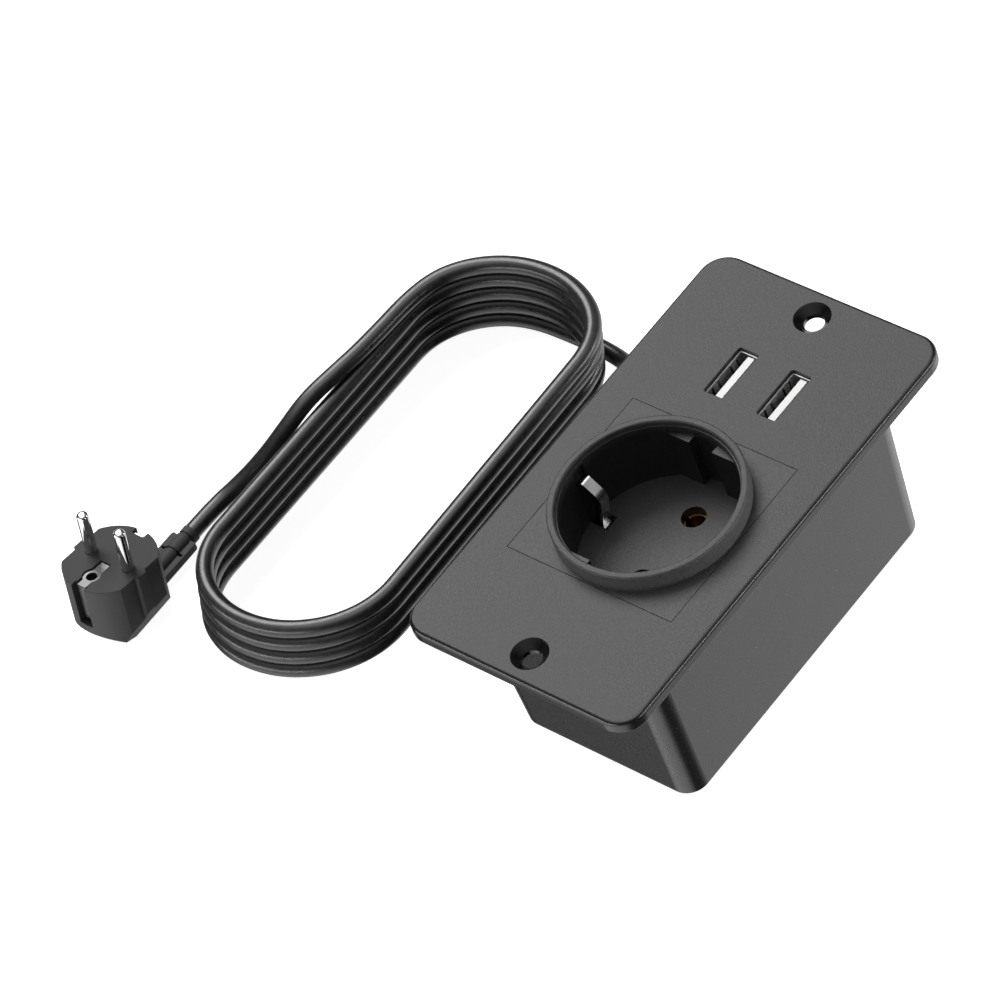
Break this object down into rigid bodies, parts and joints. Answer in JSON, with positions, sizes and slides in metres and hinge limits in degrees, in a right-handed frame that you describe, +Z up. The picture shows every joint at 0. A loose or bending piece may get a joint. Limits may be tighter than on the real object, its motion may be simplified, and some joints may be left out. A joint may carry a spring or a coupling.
{
  "type": "in-desk power module",
  "caption": "Rectangular desk-mounted power module with an earthed socket, charging ports, rear housing and a coiled lead with its plug.",
  "frame": {"origin": "middle of the rear housing's underside, below the middle of the face plate", "axes": "+Z up out of the face plate, +X along the plate from the socket to the charging ports, +Y to the side where the lead leaves"},
  "size_m": [0.1311, 0.1668, 0.0507],
  "materials": {
    "matte_black_plastic": "moulded thermoplastic, finely textured",
    "gloss_black_plastic": "moulded thermoplastic, smooth",
    "white_plastic": "moulded thermoplastic, smooth",
    "black_cord": "soft PVC sheath, satin",
    "plug_plastic": "soft moulded PVC, satin",
    "wire_blue": "thin insulation",
    "wire_brown": "thin insulation",
    "wire_green": "thin insulation",
    "board_green": "coated laminate",
    "bright_steel": "spring steel, plated",
    "shell_steel": "dark plated sheet",
    "pin_chrome": "plated, polished",
    "contact_brass": "bright rolled brass",
    "screw_zinc": "zinc plated",
    "winding_yellow": "tape over a winding",
    "capacitor_grey": "sleeved can"
  },
  "bodies": {
    "root": {"capacitor_1": "capacitor_grey", "capacitor_2": "capacitor_grey", "charger_board": "board_green", "clamp_screw_1": "screw_zinc", "clamp_screw_2": "screw_zinc", "contact_live": "contact_brass", "contact_neutral": "contact_brass", "cord_clamp": "gloss_black_plastic", "cord_hank": "black_cord", "cord_lead": "black_cord", "cord_tail": "black_cord", "earth_strap": "bright_steel", "face_plate": "matte_black_plastic", "housing_screw_1": "screw_zinc", "housing_screw_2": "screw_zinc", "housing_screw_3": "screw_zinc", "housing_screw_4": "screw_zinc", "lead_sheath": "black_cord", "plug_body": "plug_plastic", "plug_earth_front": "bright_steel", "plug_earth_rear": "bright_steel", "plug_pin_1": "pin_chrome", "plug_pin_2": "pin_chrome", "port_shell_1": "shell_steel", "port_shell_2": "shell_steel", "port_spring_1_1": "bright_steel", "port_spring_1_2": "bright_steel", "port_spring_1_3": "bright_steel", "port_spring_1_4": "bright_steel", "port_spring_2_1": "bright_steel", "port_spring_2_2": "bright_steel", "port_spring_2_3": "bright_steel", "port_spring_2_4": "bright_steel", "port_tongue_1": "white_plastic", "port_tongue_2": "white_plastic", "rear_housing": "matte_black_plastic", "socket_base": "gloss_black_plastic", "socket_insert": "matte_black_plastic", "strain_relief": "plug_plastic", "transformer": "winding_yellow", "wire_earth": "wire_green", "wire_live": "wire_brown", "wire_neutral": "wire_blue"}
  },
  "joints": []
}
